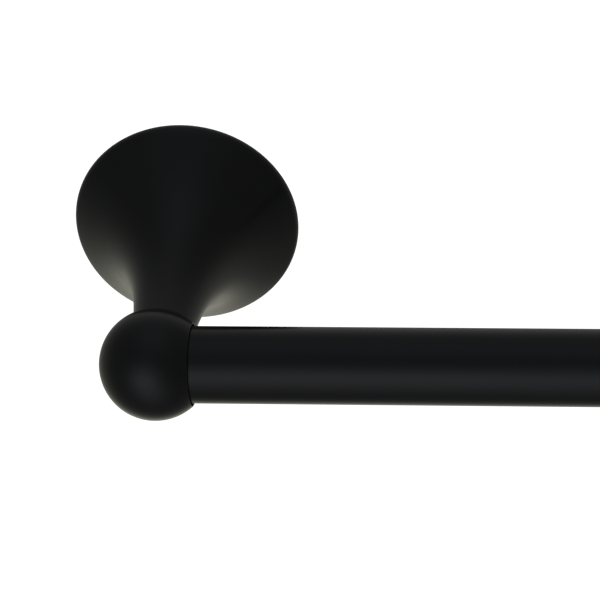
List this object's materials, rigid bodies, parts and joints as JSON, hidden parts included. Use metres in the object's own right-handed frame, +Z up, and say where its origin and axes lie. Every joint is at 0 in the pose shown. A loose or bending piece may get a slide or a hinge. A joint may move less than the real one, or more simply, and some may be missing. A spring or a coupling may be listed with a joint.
{
  "type": "curtain rod",
  "caption": "Straight round curtain rod whose ends sit in ball sockets on bell-shaped wall posts, satin black.",
  "frame": {"origin": "on the wall's surface, midway between the two post axes, at the height of the rod's axis", "axes": "+X along the rod to the right, +Y into the wall, -Y into the room, +Z up"},
  "size_m": [0.6676, 0.1038, 0.0578],
  "materials": {
    "black_coat": "satin black powder coat",
    "plated_steel": "clear zinc plate",
    "cast_zinc": "bare die-cast zinc, tumbled",
    "blackened_steel": "black oxide",
    "grey_nylon": "moulded nylon"
  },
  "bodies": {
    "brackets": {"left_post": "black_coat", "left_ball_socket": "black_coat", "left_post_screw": "plated_steel", "left_post_lock_washer": "plated_steel", "left_wall_plate": "cast_zinc", "left_upper_wall_screw": "plated_steel", "left_lower_wall_screw": "plated_steel", "left_upper_wall_anchor": "grey_nylon", "left_lower_wall_anchor": "grey_nylon", "right_post": "black_coat", "right_ball_socket": "black_coat", "right_post_screw": "plated_steel", "right_post_lock_washer": "plated_steel", "right_wall_plate": "cast_zinc", "right_upper_wall_screw": "plated_steel", "right_lower_wall_screw": "plated_steel", "right_upper_wall_anchor": "grey_nylon", "right_lower_wall_anchor": "grey_nylon"},
    "rod": {"rod_tube": "black_coat", "left_rod_end_plug": "grey_nylon", "right_rod_end_plug": "grey_nylon"},
    "left_set_screw": {"left_set_screw": "blackened_steel"},
    "right_set_screw": {"right_set_screw": "blackened_steel"}
  },
  "joints": [
    {"name": "rod_spin", "type": "hinge", "parent": "brackets", "child": "rod", "pos_m": [0, -0.0676, 0], "axis": [1, 0, 0], "continuous": true},
    {"name": "left_set_screw_travel", "type": "slide", "parent": "brackets", "child": "left_set_screw", "axis": [0, 0, -1], "range_m": [0, 0.0035]},
    {"name": "right_set_screw_travel", "type": "slide", "parent": "brackets", "child": "right_set_screw", "axis": [0, 0, -1], "range_m": [0, 0.0035]}
  ]
}
